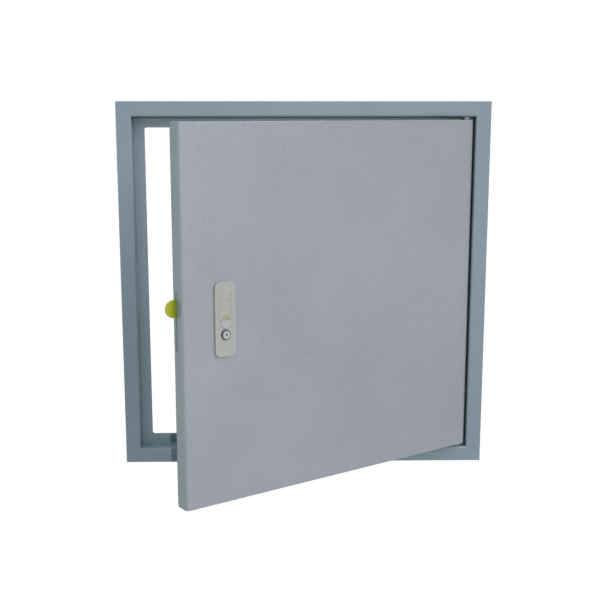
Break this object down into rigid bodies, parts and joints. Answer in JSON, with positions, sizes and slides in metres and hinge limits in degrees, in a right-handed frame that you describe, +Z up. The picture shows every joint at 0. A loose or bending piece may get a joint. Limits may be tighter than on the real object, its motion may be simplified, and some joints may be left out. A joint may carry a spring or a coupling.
{
  "type": "wall inspection hatch",
  "caption": "Square wall inspection hatch: folded sheet metal frame with a rear lip, flush side hung door, flush lever handle with key lock and a swinging latch.",
  "frame": {"origin": "centre of the wall opening, on the wall's surface, where the back of the frame's flange seats", "axes": "+X to the right along the wall seen from the front, +Y into the wall, +Z up"},
  "size_m": [0.49, 0.2688, 0.49],
  "materials": {
    "frame_paint": "satin grey powder coat",
    "door_paint": "satin cool grey powder coat",
    "galvanised": "zinc coated",
    "zinc_steel": "bright zinc",
    "nylon": "natural",
    "bronze": "sintered",
    "rubber": "matte",
    "handle_metal": "satin warm grey",
    "button_metal": "satin",
    "spring_steel": "drawn wire",
    "lock_chrome": "satin chrome",
    "yellow_zinc": "yellow chromate"
  },
  "bodies": {
    "frame": {"frame_top": "frame_paint", "frame_bottom": "frame_paint", "lock_jamb": "frame_paint", "hinge_jamb": "frame_paint", "corner_cleats": "galvanised", "strike_plate": "galvanised", "strike_rivets": "galvanised", "upper_pivot_pin": "zinc_steel", "lower_pivot_pin": "zinc_steel", "spacing_washers": "nylon"},
    "door": {"door_pan": "door_paint", "back_frame": "door_paint", "door_stiffener": "galvanised", "upper_hinge_block": "galvanised", "lower_hinge_block": "galvanised", "pivot_bushes": "bronze", "door_seal": "rubber", "handle_base": "handle_metal", "handle_gasket": "rubber", "clamp_bars": "zinc_steel", "clamp_screws": "zinc_steel", "lever_pin": "zinc_steel", "lever_spring": "spring_steel", "button_spring": "spring_steel", "lock_cylinder": "lock_chrome", "cylinder_clip": "spring_steel", "latch_screw": "zinc_steel", "latch_spring": "spring_steel"},
    "lever": {"pull_lever": "handle_metal"},
    "button": {"release_button": "button_metal"},
    "plug": {"lock_plug": "lock_chrome", "lock_cam": "zinc_steel"},
    "bar": {"draw_bar": "yellow_zinc"},
    "latch": {"latch_arm": "yellow_zinc"}
  },
  "joints": [
    {"name": "door_hinge", "type": "hinge", "parent": "frame", "child": "door", "pos_m": [0.214, 0.0064, 0], "axis": [0, 0, 1], "range_deg": [-34.5, 65.5]},
    {"name": "lever_pull", "type": "hinge", "parent": "door", "child": "lever", "pos_m": [-0.09716, -0.21352, 0.028], "axis": [-0.8241, -0.5664, 0], "range_deg": [0, 40], "stiffness_Nm_per_rad": 0.05, "springref_deg": -20.05},
    {"name": "bar_slide", "type": "slide", "parent": "door", "child": "bar", "axis": [0, 0, -1], "range_m": [0, 0.0071]},
    {"name": "latch_swing", "type": "hinge", "parent": "door", "child": "latch", "pos_m": [-0.10396, -0.20363, 0.015], "axis": [0.5664, -0.8241, 0], "range_deg": [0, 90], "stiffness_Nm_per_rad": 0.03, "springref_deg": -34.38},
    {"name": "button_press", "type": "slide", "parent": "door", "child": "button", "axis": [-0.5664, 0.8241, 0], "range_m": [0, 0.0025], "stiffness_N_per_m": 400, "springref_m": -0.002},
    {"name": "key_turn", "type": "hinge", "parent": "door", "child": "plug", "pos_m": [-0.09829, -0.21187, -0.0185], "axis": [-0.5664, 0.8241, 0], "range_deg": [0, 90]}
  ],
  "couplings": [
    {"joint": "bar_slide", "follows": "lever_pull", "m_per_rad": 0.01012},
    {"joint": "latch_swing", "follows": "lever_pull", "ratio": 2.2499}
  ]
}
